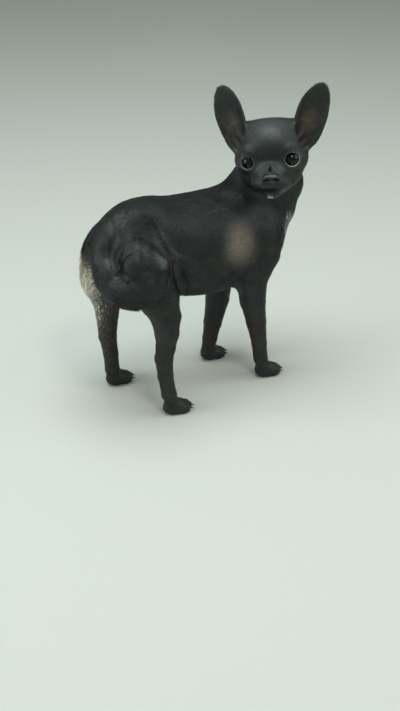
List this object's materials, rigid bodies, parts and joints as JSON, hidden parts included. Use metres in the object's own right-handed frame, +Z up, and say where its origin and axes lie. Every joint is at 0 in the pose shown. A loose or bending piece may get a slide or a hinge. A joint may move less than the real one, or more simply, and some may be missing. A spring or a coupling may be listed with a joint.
{
  "type": "standing chihuahua",
  "caption": "Small smooth-coated black dog standing with its head turned back over its right side, large upright ears and a curled tail.",
  "frame": {"origin": "on the floor under the middle of the bounding box", "axes": "+X the way the body faces, +Y the dog's left, +Z up"},
  "size_m": [0.2208, 0.1226, 0.2862],
  "materials": {
    "coat": "short smooth glossy black fur",
    "leg_coat": "short black-brown fur",
    "ear_skin": "thin skin with sparse short fur",
    "eye": "wet glossy dark brown",
    "nose_leather": "moist black"
  },
  "bodies": {
    "root": {"torso": "coat", "neck": "coat", "head": "coat", "tail": "coat", "nose": "nose_leather", "foreleg_right": "leg_coat", "foreleg_left": "leg_coat", "hindleg_right": "leg_coat", "hindleg_left": "leg_coat", "hindpaw_right": "leg_coat", "hindpaw_left": "leg_coat", "forepaw_right": "leg_coat", "forepaw_left": "leg_coat", "ear_right": "ear_skin", "ear_left": "ear_skin", "eye_right": "eye", "eye_left": "eye"}
  },
  "joints": []
}
